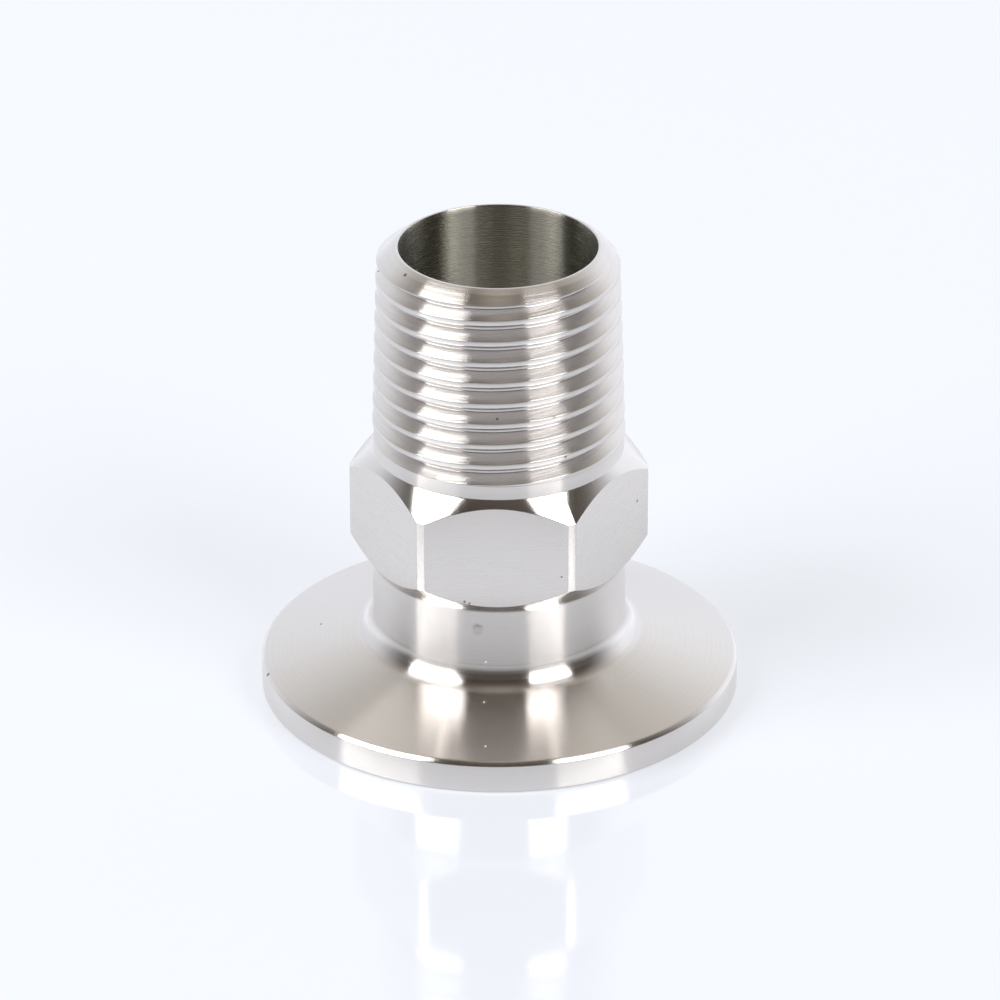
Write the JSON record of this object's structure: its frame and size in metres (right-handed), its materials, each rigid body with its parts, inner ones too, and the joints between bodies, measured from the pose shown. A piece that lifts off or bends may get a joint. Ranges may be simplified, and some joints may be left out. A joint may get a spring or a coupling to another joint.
{
  "type": "vacuum flange adapter",
  "caption": "Turned stainless adapter from a small clamped vacuum flange to a male taper pipe thread, with a hexagon for a spanner and a straight through bore.",
  "frame": {"origin": "centre of the flange's flat sealing face, on the bore's axis, where the part stands", "axes": "+Z along the bore's axis from the flange to the threaded end; -Y square to the hexagon's front flat; +X to the right seen from the front"},
  "size_m": [0.04, 0.04, 0.0399],
  "materials": {
    "machined_stainless": "bright fine-turned stainless steel, slightly warm, with fine concentric tool marks"
  },
  "bodies": {
    "root": {"flange_adapter": "machined_stainless"}
  },
  "joints": []
}
